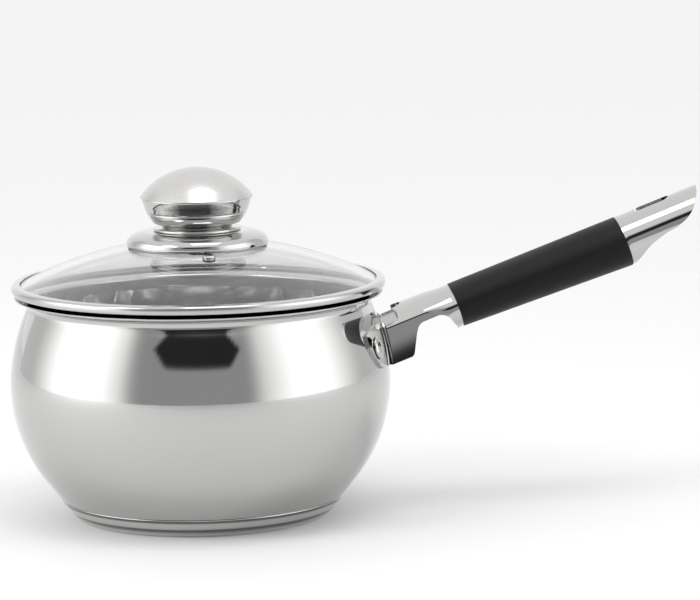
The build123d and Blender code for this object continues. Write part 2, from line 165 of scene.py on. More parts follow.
def sheet(line, thickness, spans=4):
    """Closed outline of a sheet whose left face is `thickness` away, with a rounded far edge."""
    apart = [(Vector(point) - Vector(after)).length > SAME_POINT for point, after in zip(line, line[1:])]
    line = [point for point, kept in zip(line, apart) if kept] + line[-1:]
    inner = beside(line, thickness)
    tip = (Vector(line[-1]) + Vector(inner[-1])) / 2
    spoke = Vector(line[-1]) - tip
    edge = []
    for step in range(1, spans):
        turned = spoke.copy()
        turned.rotate(Matrix.Rotation(pi * step / spans, 2))
        edge.append(tuple(tip + turned))
    return line, edge, inner[::-1]


# ---------------------------------------------------------------- meshes
def make_piece(name, points, faces, finishes, face_finish, body):
    """Mesh object in metres from points in millimetres; it rides on a body."""
    mesh = bpy.data.meshes.new(name)
    mesh.from_pydata([[value * MM for value in point] for point in points], [], faces)
    for finish in finishes:
        mesh.materials.append(finish)
    for polygon, place in zip(mesh.polygons, face_finish):
        polygon.material_index = place
        polygon.use_smooth = True
    mesh.validate()
    mesh.set_sharp_from_angle(angle=radians(SHARP_ANGLE))
    piece = bpy.data.objects.new(name, mesh)
    bpy.context.scene.collection.objects.link(piece)
    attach(piece, body)
    return piece


def lathe(name, runs, finishes, body, steps=LATHE_STEPS):
    """Closed outline turned about Z. Each run of the outline has its own finish."""
    section = []
    finish_of = []
    for place, run in enumerate(runs):
        for point in run:
            if not section or (Vector(point) - Vector(section[-1])).length > 1e-4:
                section.append(point)
                finish_of.append(place)
    if (Vector(section[0]) - Vector(section[-1])).length < 1e-4:
        section.pop()
        finish_of.pop()
    points = []
    rings = []
    for radius, height in section:
        if radius < 1e-4:
            rings.append([len(points)] * steps)
            points.append((0, 0, height))
        else:
            rings.append([len(points) + step for step in range(steps)])
            for step in range(steps):
                angle = 2 * pi * step / steps
                points.append((radius * cos(angle), radius * sin(angle), height))
    faces = []
    face_finish = []
    for place, ring in enumerate(rings):
        following = rings[(place + 1) % len(rings)]
        for step in range(steps):
            beyond = (step + 1) % steps
            corners = [ring[step], ring[beyond], following[beyond], following[step]]
            corners = list(dict.fromkeys(corners))
            if len(corners) > 2:
                faces.append(corners)
                face_finish.append(finish_of[place])
    piece = make_piece(name, points, faces, finishes, face_finish, body)
    recalculate_outside(piece)
    return piece


def recalculate_outside(piece):
    """Turns every face of a closed mesh outwards."""
    work = bmesh.new()
    work.from_mesh(piece.data)
    bmesh.ops.recalc_face_normals(work, faces=work.faces)
    work.to_mesh(piece.data)
    work.free()


# ---------------------------------------------------------------- material nodes
def linear(code):
    """sRGB hex code to a linear colour with alpha."""
    channels = [int(code[place : place + 2], 16) / 255 for place in (1, 3, 5)]
    low = [value / 12.92 for value in channels]
    high = [((value + 0.055) / 1.055) ** 2.4 for value in channels]
    return [dark if value <= 0.04045 else light for value, dark, light in zip(channels, low, high)] + [1.0]


def add_node(tree, kind, inputs=None, **settings):
    """Adds a node; an input is a value or the socket that feeds it."""
    made = tree.nodes.new(kind)
    for key, value in settings.items():
        setattr(made, key, value)
    for socket, value in (inputs or {}).items():
        if isinstance(value, bpy.types.NodeSocket):
            tree.links.new(value, made.inputs[socket])
        else:
            made.inputs[socket].default_value = value
    return made


def new_material(name):
    """Empty material and its node tree, with the Principled shader wired to the output."""
    material = bpy.data.materials.new(name)
    material.use_nodes = True
    tree = material.node_tree
    tree.nodes.clear()
    shader = add_node(tree, "ShaderNodeBsdfPrincipled")
    add_node(tree, "ShaderNodeOutputMaterial", {"Surface": shader.outputs["BSDF"]})
    return material, tree, shader


def object_point(tree):
    """Place on the object in metres."""
    return add_node(tree, "ShaderNodeTexCoord").outputs["Object"]


def polished_stainless():
    """18/10 stainless, buffed to a mirror: sharp, slightly grey reflections with a faint haze."""
    material, tree, shader = new_material("polished_stainless_steel")
    place = object_point(tree)
    haze = add_node(tree, "ShaderNodeTexNoise", {"Vector": place, "Scale": 45.0, "Detail": 3.0})
    rough = add_node(
        tree, "ShaderNodeMapRange",
        {"Value": haze.outputs["Fac"], "From Min": 0.3, "From Max": 0.7, "To Min": 0.035, "To Max": 0.075},
    )
    tree.links.new(rough.outputs["Result"], shader.inputs["Roughness"])
    # drawn sheet is never quite true: swells about 40 mm apart bend long reflections
    swell = add_node(tree, "ShaderNodeTexNoise", {"Vector": place, "Scale": 25.0, "Detail": 0.0})
    bump = add_node(
        tree, "ShaderNodeBump",
        {"Height": swell.outputs["Fac"], "Strength": 0.35, "Distance": 0.0006},
    )
    tree.links.new(bump.outputs["Normal"], shader.inputs["Normal"])
    shader.inputs["Base Color"].default_value = linear("#BFBFBE")
    shader.inputs["Metallic"].default_value = 1.0
    return material


def turned_stainless(name, line_spacing, roughness, depth):
    """Stainless with fine rings left by turning: reflections smear across the rings. Its colour also carries
    painted reflection rings.
    """
    material, tree, shader = new_material(name)
    place = object_point(tree)
    parts = add_node(tree, "ShaderNodeSeparateXYZ", {"Vector": place})
    flat = add_node(tree, "ShaderNodeCombineXYZ", {"X": parts.outputs["X"], "Y": parts.outputs["Y"]})
    radius = add_node(tree, "ShaderNodeVectorMath", {"Vector": flat.outputs["Vector"]}, operation="LENGTH")
    both = add_node(
        tree, "ShaderNodeMath", {0: radius.outputs["Value"], 1: parts.outputs["Z"]}, operation="ADD"
    )
    rings = add_node(
        tree, "ShaderNodeTexNoise",
        {"W": both.outputs["Value"], "Scale": 1 / (line_spacing * MM), "Detail": 2.0},
        noise_dimensions="1D",
    )
    bump = add_node(
        tree, "ShaderNodeBump",
        {"Height": rings.outputs["Fac"], "Strength": 0.5, "Distance": depth * MM},
    )
    tree.links.new(bump.outputs["Normal"], shader.inputs["Normal"])
    rough = add_node(
        tree, "ShaderNodeMapRange",
        {"Value": rings.outputs["Fac"], "To Min": roughness * 0.8, "To Max": roughness * 1.25},
    )
    tree.links.new(rough.outputs["Result"], shader.inputs["Roughness"])
    # rings about 9 mm wide painted dark and light into the colour: partly real buffing rings, mostly painted
    # reflection of the rings that the mirror-like inside shows through the lid; buffing rings about 9 mm
    # wide, drawn stronger than real ones so that they show through the lid
    reflection_bands = add_node(
        tree, "ShaderNodeTexNoise", {"W": both.outputs["Value"], "Scale": 1 / (9 * MM), "Detail": 1.0},
        noise_dimensions="1D",
    )
    reflection_tones = add_node(tree, "ShaderNodeValToRGB", {"Fac": reflection_bands.outputs["Fac"]})
    reflection_tones.color_ramp.elements[0].position = 0.42
    reflection_tones.color_ramp.elements[0].color = linear("#6F6E6D")
    reflection_tones.color_ramp.elements[1].position = 0.58
    reflection_tones.color_ramp.elements[1].color = linear("#D2D1D0")
    tree.links.new(reflection_tones.outputs["Color"], shader.inputs["Base Color"])
    shader.inputs["Metallic"].default_value = 1.0
    return material


def satin_stainless():
    """Stainless with a fine satin finish: wide soft highlights."""
    material, tree, shader = new_material("satin_stainless_steel")
    place = object_point(tree)
    grain = add_node(tree, "ShaderNodeTexNoise", {"Vector": place, "Scale": 900.0, "Detail": 2.0})
    rough = add_node(
        tree, "ShaderNodeMapRange",
        {"Value": grain.outputs["Fac"], "From Min": 0.3, "From Max": 0.7, "To Min": 0.26, "To Max": 0.33},
    )
    tree.links.new(rough.outputs["Result"], shader.inputs["Roughness"])
    shader.inputs["Base Color"].default_value = linear("#CBCAC9")
    shader.inputs["Metallic"].default_value = 1.0
    return material


def tempered_glass():
    """Clear soda-lime glass: almost colourless, bright where it is seen edge on."""
    material, tree, shader = new_material("clear_tempered_glass")
    shader.inputs["Base Color"].default_value = linear("#EEEFEE")
    shader.inputs["Roughness"].default_value = 0.0
    shader.inputs["IOR"].default_value = 1.52
    shader.inputs["Transmission Weight"].default_value = 1.0
    place = object_point(tree)
    ripple = add_node(tree, "ShaderNodeTexNoise", {"Vector": place, "Scale": 18.0, "Detail": 0.0})
    bump = add_node(
        tree, "ShaderNodeBump", {"Height": ripple.outputs["Fac"], "Strength": 0.15, "Distance": 0.0003}
    )
    tree.links.new(bump.outputs["Normal"], shader.inputs["Normal"])
    return material


def moulded_phenolic():
    """Black heat-resistant phenolic, moulded with a fine satin texture that greys at glancing light."""
    material, tree, shader = new_material("black_moulded_phenolic")
    place = object_point(tree)
    texture = add_node(tree, "ShaderNodeTexNoise", {"Vector": place, "Scale": 1600.0, "Detail": 2.0})
    bump = add_node(
        tree, "ShaderNodeBump", {"Height": texture.outputs["Fac"], "Strength": 0.35, "Distance": 0.00008}
    )
    tree.links.new(bump.outputs["Normal"], shader.inputs["Normal"])
    patches = add_node(tree, "ShaderNodeTexNoise", {"Vector": place, "Scale": 60.0, "Detail": 4.0})
    rough = add_node(
        tree, "ShaderNodeMapRange",
        {"Value": patches.outputs["Fac"], "From Min": 0.3, "From Max": 0.7, "To Min": 0.46, "To Max": 0.56},
    )
    tree.links.new(rough.outputs["Result"], shader.inputs["Roughness"])
    shader.inputs["Base Color"].default_value = linear("#0C0C0C")
    shader.inputs["IOR"].default_value = 1.5
    shader.inputs["Specular IOR Level"].default_value = 0.22
    return material


def pressed_aluminium():
    """Bare aluminium plate: pale, dull and slightly cloudy."""
    material, tree, shader = new_material("pressed_aluminium")
    place = object_point(tree)
    cloud = add_node(tree, "ShaderNodeTexNoise", {"Vector": place, "Scale": 200.0, "Detail": 4.0})
    rough = add_node(
        tree, "ShaderNodeMapRange", {"Value": cloud.outputs["Fac"], "To Min": 0.3, "To Max": 0.5}
    )
    tree.links.new(rough.outputs["Result"], shader.inputs["Roughness"])
    shader.inputs["Base Color"].default_value = linear("#DCDDDE")
    shader.inputs["Metallic"].default_value = 1.0
    return material


def painted_groove_shade_aluminium():
    """Bare aluminium of the base core, coloured dark: painted shade for the dull dark line in the groove
    round the base.
    """
    material, tree, shader = new_material("painted_groove_shade_aluminium")
    place = object_point(tree)
    cloud = add_node(tree, "ShaderNodeTexNoise", {"Vector": place, "Scale": 300.0, "Detail": 3.0})
    rough = add_node(
        tree, "ShaderNodeMapRange", {"Value": cloud.outputs["Fac"], "To Min": 0.5, "To Max": 0.7}
    )
    tree.links.new(rough.outputs["Result"], shader.inputs["Roughness"])
    # dark base colour: painted shade of the narrow groove, not the aluminium's own tone
    shader.inputs["Base Color"].default_value = linear("#2B2A29")
    shader.inputs["Metallic"].default_value = 1.0
    return material


def silicone_rubber():
    """Translucent grey silicone: waxy, with a soft dull shine."""
    material, tree, shader = new_material("grey_silicone_rubber")
    place = object_point(tree)
    cloud = add_node(tree, "ShaderNodeTexNoise", {"Vector": place, "Scale": 400.0, "Detail": 2.0})
    rough = add_node(
        tree, "ShaderNodeMapRange", {"Value": cloud.outputs["Fac"], "To Min": 0.45, "To Max": 0.6}
    )
    tree.links.new(rough.outputs["Result"], shader.inputs["Roughness"])
    shader.inputs["Base Color"].default_value = linear("#C9CAC8")
    shader.inputs["IOR"].default_value = 1.41
    shader.inputs["Transmission Weight"].default_value = 0.25
    return material


MIRROR = polished_stainless()
TURNED = turned_stainless("turned_stainless_steel", 0.45, 0.10, 0.02)
BRUSHED_INSIDE = turned_stainless("ring_polished_stainless_steel", 0.6, 0.05, 0.0015)
SATIN = satin_stainless()
GLASS = tempered_glass()
PHENOLIC = moulded_phenolic()
ALUMINIUM = pressed_aluminium()
SILICONE = silicone_rubber()
PAINTED_GROOVE_SHADE = painted_groove_shade_aluminium()


# ---------------------------------------------------------------- pan
def pan_wall():
    """Outside of the pan's sheet, from the floor's centre to the rim's edge."""
    toe = arc((FLOOR_RADIUS, FLOOR_HEIGHT + TOE_BEND), TOE_BEND, -90, TOE_SLOPE - 90, 12)
    belly = arc(BELLY_CENTRE, BELLY_CURVE, TOE_SLOPE - 90, BELLY_TOP, 32)
    shoulder = arc(SHOULDER_CENTRE, SHOULDER_CURVE, BELLY_TOP, NECK_ANGLE, 10)
    neck = radians(NECK_ANGLE)
    bend_centre = (
        shoulder[-1][0] + RIM_BEND * cos(neck),
        shoulder[-1][1] + RIM_BEND * sin(neck),
    )
    bend = arc(bend_centre, RIM_BEND, NECK_ANGLE + 180, RIM_SLOPE + 90, 14)
    run = RIM_RADIUS - PAN_SHEET * sin(radians(RIM_SLOPE)) - bend[-1][0]
    rim = (bend[-1][0] + run, bend[-1][1] + run * tan(radians(RIM_SLOPE)))
    return [(0, FLOOR_HEIGHT)] + toe + belly[1:] + shoulder[1:] + bend[1:] + [rim]


outside, rim_edge, inside = sheet(pan_wall(), PAN_SHEET)
pan = lathe(
    "pan_body",
    (outside, rim_edge, inside),
    (MIRROR, MIRROR, BRUSHED_INSIDE),
    "pan",
    ROUND_STEPS,
)
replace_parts(pan, "pan_shell")

cap_line = rounded([(0, 0), (CAP_RADIUS, 0), CAP_EDGE], [CAP_BEND])
cap = lathe("base_capsule", sheet(cap_line, CAP_SHEET), (TURNED, MIRROR, MIRROR), "pan")
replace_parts(cap, "base_cap")

core_line = [
    (0, CAP_SHEET),
    (CAP_RADIUS - CORE_GAP, CAP_SHEET),
    (CORE_LIP[1], CORE_TOP),
    (CORE_LIP[0], CORE_TOP),
    (FLOOR_RADIUS, FLOOR_HEIGHT),
    (0, FLOOR_HEIGHT),
]
# the core's dark finish is painted shade; only its lip shows, as the dark line in the groove over the capsule
core = lathe("base_aluminium_core", (core_line,), (PAINTED_GROOVE_SHADE,), "pan")
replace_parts(core, "base_core")


# ---------------------------------------------------------------- lid
def dome(curve, first, last, spans=40):
    """Arc of the glass between two radii."""
    start = degrees(atan2(sqrt(curve**2 - first**2), first))
    end = degrees(atan2(sqrt(curve**2 - last**2), last))
    return arc((0, GLASS_CENTRE), curve, start, end, spans)


inner_curve = GLASS_CURVE - GLASS_THICKNESS
inner_edge = GLASS_EDGE * inner_curve / GLASS_CURVE
glass = lathe(
    "glass_dome",
    (dome(GLASS_CURVE, GLASS_HOLE, GLASS_EDGE), dome(inner_curve, inner_edge, GLASS_HOLE)),
    (GLASS, GLASS),
    "lid",
)
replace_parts(glass, "lid_glass")

band_line = rounded(
    [
        (BAND_RADIUS - 4.0, BAND_TOP),
        (BAND_RADIUS, BAND_TOP - 0.2),
        (BAND_RADIUS, BAND_TOP - 3.6),
        (BAND_RADIUS - 3.6, BAND_TOP - 5.6),
        (BAND_RADIUS - 5.6, BAND_TOP - 6.0),
        (LIP_RADIUS, BAND_TOP - 7.8),
        (LIP_RADIUS, LIP_BOTTOM),
    ],
    [1.6, 1.5, 1.5, 1.5, 1.5],
)
band = lathe(
    "lid_edge_band",
    sheet(band_line, -BAND_SHEET),
    (MIRROR, MIRROR, MIRROR),
    "lid",
    ROUND_STEPS,
)
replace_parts(band, "lid_band")


# ---------------------------------------------------------------- knob
def tangent_arc(start, direction, end, spans=14):
    """Arc from a point along a direction to another point."""
    here = Vector(start)
    chord = Vector(end) - here
    way = Vector(direction).normalized()
    side = Vector((-way.y, way.x))
    radius = chord.length_squared / (2 * chord.dot(side))
    centre = here + side * radius
    spoke = here - centre
    turn = -spoke.angle_signed(Vector(end) - centre)
    points = []
    for step in range(spans + 1):
        turned = spoke.copy()
        turned.rotate(Matrix.Rotation(turn * step / spans, 2))
        points.append(tuple(centre + turned))
    end_spoke = Vector(end) - centre
    last = Vector((-end_spoke.y, end_spoke.x)) * (1 if radius > 0 else -1)
    return points, last


skirt_line = [(SCREW_HOLE, SKIRT_TOP), (SKIRT_SEAT, SKIRT_TOP)]
skirt_way = (1, 0)
for corner in (SKIRT_BROW, (SKIRT_RADIUS, SKIRT_EDGE)):
    stretch, skirt_way = tangent_arc(skirt_line[-1], skirt_way, corner)
    skirt_line += stretch[1:]
skirt = lathe("knob_rose", sheet(skirt_line, -KNOB_SHEET), (MIRROR, MIRROR, MIRROR), "lid")
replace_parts(skirt, "knob_skirt")

collar_line = rounded(
    [
        (SCREW_HOLE, SKIRT_TOP),
        (COLLAR_RADIUS, SKIRT_TOP),
        (COLLAR_RADIUS, CUP_FLOOR),
        (SCREW_HOLE, CUP_FLOOR),
    ],
    [0.6, 0.6],
)
collar = lathe("knob_turned_collar", (collar_line,), (MIRROR,), "lid")
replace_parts(collar, "knob_collar")

cup_foot = [(SCREW_HOLE, CUP_FLOOR), (CUP_FLOOR_RADIUS, CUP_FLOOR), CUP_NECK, CUP_SHOULDER, CUP_WAIST]
cup_cone = rounded(cup_foot, [0.5, 1.2, 0.5])
cup_side = tangent_arc(CUP_WAIST, CUP_WAIST_WAY, CUP_GROOVE)[0]
cup_side += rounded([CUP_GROOVE, *CUP_BEAD], [0.25, 0.4])[1:]
cup_side += tangent_arc(CUP_BEAD[-1], CUP_BEAD_WAY, CUP_EDGE)[0][1:]
cup = lathe(
    "knob_lower_shell",
    sheet(cup_cone + cup_side[1:], KNOB_SHEET),
    (MIRROR, MIRROR, MIRROR),
    "lid",
)
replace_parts(cup, "knob_cup")

cap_rise = KNOB_TOP - KNOB_RIM_HEIGHT
cap_curve = (cap_rise**2 + KNOB_RADIUS**2) / (2 * cap_rise)
cap_angle = degrees(asin(KNOB_RADIUS / cap_curve))
cap_line = arc((0, KNOB_TOP - cap_curve), cap_curve, 90, 90 - cap_angle, 24)
knob_cap = lathe(
    "knob_upper_shell", sheet(cap_line, -KNOB_SHEET), (SATIN, MIRROR, MIRROR), "lid"
)
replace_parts(knob_cap, "knob_cap")


# ---------------------------------------------------------------- grip sleeve
def crown_point(along, across, above):
    """Place in millimetres from distances along, across and square to the handle's crown line."""
    return (
        CROWN_START[0] + along * cos(HANDLE_RISE) - above * sin(HANDLE_RISE),
        across,
        CROWN_START[1] + along * sin(HANDLE_RISE) + above * cos(HANDLE_RISE),
    )


def oval_ring(along, half_width, crown, bottom, steps=96):
    """Ring of points round the handle."""
    middle = (crown + bottom) / 2
    half_height = (crown - bottom) / 2
    angles = [2 * pi * step / steps for step in range(steps)]
    return [crown_point(along, half_width * cos(a), middle + half_height * sin(a)) for a in angles]


def grip():
    """Moulded sleeve with softly rounded ends, open where the handle passes through."""
    length = SLEEVE_END - SLEEVE_START

    def sized(along, inset):
        share = (along - SLEEVE_START) / length
        half_width = 15.6 - 0.2 * share - inset
        crown = 0.6 + 0.4 * share - inset
        bottom = -20.0 - 2.8 * share + inset
        return oval_ring(along, half_width, crown, bottom)

    turns = [radians(15 * step) for step in range(7)]
    ends = [(SLEEVE_BEND * (1 - cos(turn)), SLEEVE_BEND * (1 - sin(turn))) for turn in turns]
    rings = [sized(SLEEVE_START, SLEEVE_WALL)]
    rings += [sized(SLEEVE_START + away, inset) for away, inset in ends]
    for step in range(1, 12):
        rings.append(sized(SLEEVE_START + SLEEVE_BEND + (length - 2 * SLEEVE_BEND) * step / 12, 0))
    rings += [sized(SLEEVE_END - away, inset) for away, inset in reversed(ends)]
    rings.append(sized(SLEEVE_END, SLEEVE_WALL))
    points = [point for ring in rings for point in ring]
    count = len(rings[0])
    faces = []
    for place in range(len(rings)):
        first, second = place * count, (place + 1) % len(rings) * count
        for step in range(count):
            beyond = (step + 1) % count
            faces.append((first + step, first + beyond, second + beyond, second + step))
    piece = make_piece(
        "grip_sleeve_moulding", points, faces, (PHENOLIC,), [0] * len(faces), "pan"
    )
    recalculate_outside(piece)
    return piece


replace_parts(grip(), "grip_sleeve")

# ---------------------------------------------------------------- handle
HANDLE_SHEET = 1.2
ARCH_WIDTH = 15.44
ARCH_DROP = 4.4
BEND_RADIUS = 1.8
WALL_LEAN = 11.0
WALL_FLARE = 0.0032
WALL_LENGTH = 18.0
ARCH_COLUMNS = 12
BEND_COLUMNS = 6
WALL_COLUMNS = 18
TAPER_START = 16.0
SLIT_HALF_WIDTH = 5.0
WEB_START = 3.5
WEB_NOTCH = 4.5
SLOT_LENGTH = 18.0
SLOT_WIDTH = 8.0
SLOT_CENTRE = 133.0
TIP = 155.75
TAB_BEND = 2.4
TAB_END = 29.5
LOWER_EDGE = (
    [(-20, -21.3), (3.6, -21.3), (4.9, -20.6), (9.8, -11.8)]
    + arc((14.6, -13.4), 4.8, 160, 90, 6)
    + [(20.8, -8.6)]
    + arc((20.8, -15.0), 6.4, 84, 8, 8)
    + [(28.6, -18.6), (30.5, -20.6), (116, -21.7)]
)
SCOOP = ((116, -21.6), (123.8, -15.4), (134, -12.1), (141, -11.0), (149, -7.3), (153, -2.8), (156, 0.3))


def along_line(line, place):
    """Height of a polyline at a place along it."""
    for (first, low), (second, high) in zip(line, line[1:]):
        if place <= second:
            return low + (high - low) * (place - first) / (second - first)
    return line[-1][1]


def scoop_height(place):
    """Smooth curve of the tail's lower edge."""
    spans = list(zip(SCOOP, SCOOP[1:]))
    slopes = [(high - low) / (second - first) for (first, low), (second, high) in spans]
    knots = [1.1] + [(one + other) / 2 for one, other in zip(slopes, slopes[1:])] + [slopes[-1]]
    for number, ((first, low), (second, high)) in enumerate(spans):
        if place <= second or number == len(spans) - 1:
            span = second - first
            t = (place - first) / span
            return (
                (2 * t**3 - 3 * t**2 + 1) * low
                + (t**3 - 2 * t**2 + t) * span * knots[number]
                + (3 * t**2 - 2 * t**3) * high
                + (t**3 - t**2) * span * knots[number + 1]
            )


def lower_edge(along):
    """How far below the crown line the trimmed sheet ends."""
    return scoop_height(along) if along > SLEEVE_END else along_line(LOWER_EDGE, along)


def oval_size(along):
    """Half width, crown and bottom of the rolled stretch."""
    if along < SLEEVE_END:
        share = max(0, (along - SLEEVE_START) / (SLEEVE_END - SLEEVE_START))
        return 14.3 - 0.3 * share, -0.8 + 0.5 * share, -18.5 - 2.8 * share
    share = (along - SLEEVE_END) / 42
    return 14.0 - 0.5 * share, -0.3 + 0.4 * share, -21.3 + 0.5 * share


def bend_foot(along):
    """Where the arched web has turned down into the side wall: across and above."""
    width = ARCH_WIDTH - 0.04 * along
    curve = (width**2 + ARCH_DROP**2) / (2 * ARCH_DROP)
    edge_slope = asin(width / curve)
    down = radians(90 - WALL_LEAN)
    across = width + BEND_RADIUS * (sin(down) - sin(edge_slope))
    above = -ARCH_DROP - BEND_RADIUS * (cos(edge_slope) - cos(down))
    return width, curve, edge_slope, down, across, above


def ear_point(along, column, share):
    """Across and above for a column of the arched, deep-sided stretch."""
    width, curve, edge_slope, down, foot_across, foot_above = bend_foot(along)
    if column <= ARCH_COLUMNS:
        angle = edge_slope * column / ARCH_COLUMNS
        return curve * sin(angle), curve * (cos(angle) - 1)
    if column <= ARCH_COLUMNS + BEND_COLUMNS:
        angle = edge_slope + (down - edge_slope) * (column - ARCH_COLUMNS) / BEND_COLUMNS
        return (
            width + BEND_RADIUS * (sin(angle) - sin(edge_slope)),
            -ARCH_DROP - BEND_RADIUS * (cos(edge_slope) - cos(angle)),
        )
    drop = WALL_LENGTH * share
    return foot_across + wall_offset(drop), foot_above - drop


def wall_offset(drop):
    """How far a side wall has leant out, this far below the bend."""
    return drop * tan(radians(WALL_LEAN)) + WALL_FLARE * drop**2


def oval_point(along, column, share):
    """Across and above for the same column of the rolled stretch."""
    half_width, crown, bottom = oval_size(along)
    if column <= ARCH_COLUMNS:
        angle = radians(50) * column / ARCH_COLUMNS
    elif column <= ARCH_COLUMNS + BEND_COLUMNS:
        angle = radians(50 + 18 * (column - ARCH_COLUMNS) / BEND_COLUMNS)
    else:
        slit = pi - asin(SLIT_HALF_WIDTH / half_width)
        angle = radians(68) + (slit - radians(68)) * share
    middle = (crown + bottom) / 2
    return half_width * sin(angle), middle + (crown - bottom) / 2 * cos(angle)


def section_point(along, column, share):
    """Across and above at a column; the section closes from the ears to the oval."""
    closing = soft_step(along, (TAPER_START + SLEEVE_START) / 2, SLEEVE_START - TAPER_START)
    ear = Vector(ear_point(along, column, share))
    oval = Vector(oval_point(along, column, share))
    return ear.lerp(oval, closing)


def tail_point(along, column):
    """Across and above in the tail, where all columns crowd in above the scoop."""
    half_width, crown, bottom = oval_size(along)
    middle = (crown + bottom) / 2
    half_height = (crown - bottom) / 2
    level = min(max((lower_edge(along) - middle) / half_height, -1), 0.99999)
    slit = pi - asin(SLIT_HALF_WIDTH / half_width)
    last = min(acos(level), slit)
    total = ARCH_COLUMNS + BEND_COLUMNS + WALL_COLUMNS
    angle = last * column / total
    return Vector((half_width * sin(angle), middle + half_height * cos(angle)))


def trimmed_share(along):
    """Share of the side wall that the trimming leaves."""
    last = ARCH_COLUMNS + BEND_COLUMNS + WALL_COLUMNS
    target = lower_edge(along)
    low, high = 0.0, 1.0
    if section_point(along, last, high).y >= target:
        return 1.0
    for _ in range(30):
        middle = (low + high) / 2
        if section_point(along, last, middle).y > target:
            low = middle
        else:
            high = middle
    return low


def pan_radius(height):
    """Outside radius of the pan's wall."""
    takes_over = SHOULDER_CENTRE[1] + SHOULDER_CURVE * sin(radians(BELLY_TOP))
    if height > takes_over:
        return SHOULDER_CENTRE[0] + sqrt(SHOULDER_CURVE**2 - (height - SHOULDER_CENTRE[1]) ** 2)
    return BELLY_CENTRE[0] + sqrt(BELLY_CURVE**2 - (height - BELLY_CENTRE[1]) ** 2)


def wall_at(x, z):
    """Half width of the ears' outer face at a place in the handle's plane."""
    along = (x - CROWN_START[0]) * cos(HANDLE_RISE) + (z - CROWN_START[1]) * sin(HANDLE_RISE)
    above = -(x - CROWN_START[0]) * sin(HANDLE_RISE) + (z - CROWN_START[1]) * cos(HANDLE_RISE)
    foot_across, foot_above = bend_foot(along)[4:]
    return foot_across + wall_offset(foot_above - above)


def tab_bend_centre(z):
    """Distance along X of the bend between ear and tab, and the ear's half width there."""
    x = 88.4
    for _ in range(6):
        half = wall_at(x, z)
        x = sqrt((pan_radius(z) + HANDLE_SHEET + TAB_BEND) ** 2 - (half + TAB_BEND) ** 2)
    return x, half


def thick_sheet(name, rows, thickness):
    """Sheet with a visible thickness from a grid of points on its outer face."""
    count = len(rows)
    width = len(rows[0])
    outer = [Vector(point) for row in rows for point in row]
    inner = []
    for i in range(count):
        for j in range(width):
            down = outer[min(i + 1, count - 1) * width + j] - outer[max(i - 1, 0) * width + j]
            over = outer[i * width + min(j + 1, width - 1)] - outer[i * width + max(j - 1, 0)]
            inner.append(outer[i * width + j] + down.cross(over).normalized() * thickness)
    shift = len(outer)
    faces = []
    for i in range(count - 1):
        for j in range(width - 1):
            a = i * width + j
            faces.append((a, a + 1, a + width + 1, a + width))
            faces.append((shift + a, shift + a + width, shift + a + width + 1, shift + a + 1))
    rim = [(0, j) for j in range(width)] + [(i, width - 1) for i in range(1, count)]
    rim += [(count - 1, j) for j in range(width - 2, -1, -1)] + [(i, 0) for i in range(count - 2, 0, -1)]
    for (i, j), (k, m) in zip(rim, rim[1:] + rim[:1]):
        a, b = i * width + j, k * width + m
        faces.append((a, a + shift, b + shift, b))
    points = [tuple(point) for point in outer + inner]
    piece = make_piece(name, points, faces, (MIRROR,), [0] * len(faces), "pan")
    recalculate_outside(piece)
    return piece


def handle_rows():
    """Grid on the outer face of the bent sheet, from the pan to the tip."""
    last = ARCH_COLUMNS + BEND_COLUMNS + WALL_COLUMNS
    columns = range(-last, last + 1)
    starts = []
    for column in columns:
        reach = abs(column)
        point = section_point(0, reach, (reach - ARCH_COLUMNS - BEND_COLUMNS) / WALL_COLUMNS)
        if reach <= ARCH_COLUMNS:
            starts.append(WEB_START + sqrt(max(WEB_NOTCH**2 - point.x**2, 0)))
            continue
        along = 0
        for _ in range(6):
            z = CROWN_START[1] + along * sin(HANDLE_RISE) + point.y * cos(HANDLE_RISE)
            x = tab_bend_centre(z)[0]
            along = (x - CROWN_START[0] + point.y * sin(HANDLE_RISE)) / cos(HANDLE_RISE)
        starts.append(along)
    places = [TAPER_START * step / 40 for step in range(41)]
    places += [TAPER_START + 0.5 * step for step in range(1, 31)]
    places += [SLEEVE_START + 5 * step for step in range(1, 17)]
    places += [SLEEVE_END + 0.5 * step for step in range(0, 73)]
    places += [TIP - (TIP - 152) * (1 - sin(pi / 2 * step / 16)) for step in range(1, 17)]
    rows = []
    for place in places:
        row = []
        for column, start in zip(columns, starts):
            reach = abs(column)
            along = place
            if place < TAPER_START:
                along = start + (TAPER_START - start) * place / TAPER_START
            if place >= SLEEVE_END:
                point = tail_point(along, reach)
            else:
                share = max(0, reach - ARCH_COLUMNS - BEND_COLUMNS) / WALL_COLUMNS
                point = section_point(along, reach, share * trimmed_share(along))
            side = 1 if column >= 0 else -1
            row.append(crown_point(along, side * point.x, point.y))
        rows.append(row)
    return rows


def tab_rows(side):
    """Grid on the outer face of a mounting tab, from its bend at the ear to its free edge."""
    rows = []
    path = [("bend", step / 8) for step in range(9)] + [("tab", step / 14) for step in range(1, 15)]
    for stretch, share in path:
        row = []
        free = share if stretch == "tab" else 0
        low = 69.6 + 11.5 * max(0, (free - 0.35) / 0.65) ** 2.2
        high = 88.2 + 1.1 * sin(pi * min(1, free * 1.4)) - 1.6 * free**6
        for step in range(25):
            z = low + (high - low) * step / 24
            x, half = tab_bend_centre(z)
            radius = pan_radius(z) + HANDLE_SHEET
            first = atan2(half + TAB_BEND, x)
            if stretch == "bend":
                angle = -pi / 2 + (pi / 2 + first) * share
                point = (x - TAB_BEND * sin(angle + pi / 2), half + TAB_BEND - TAB_BEND * cos(angle + pi / 2))
            else:
                angle = first + (radians(TAB_END) - first) * share
                point = (radius * cos(angle), radius * sin(angle))
            row.append((point[0], side * point[1], z))
        rows.append(row if side < 0 else row[::-1])
    return rows


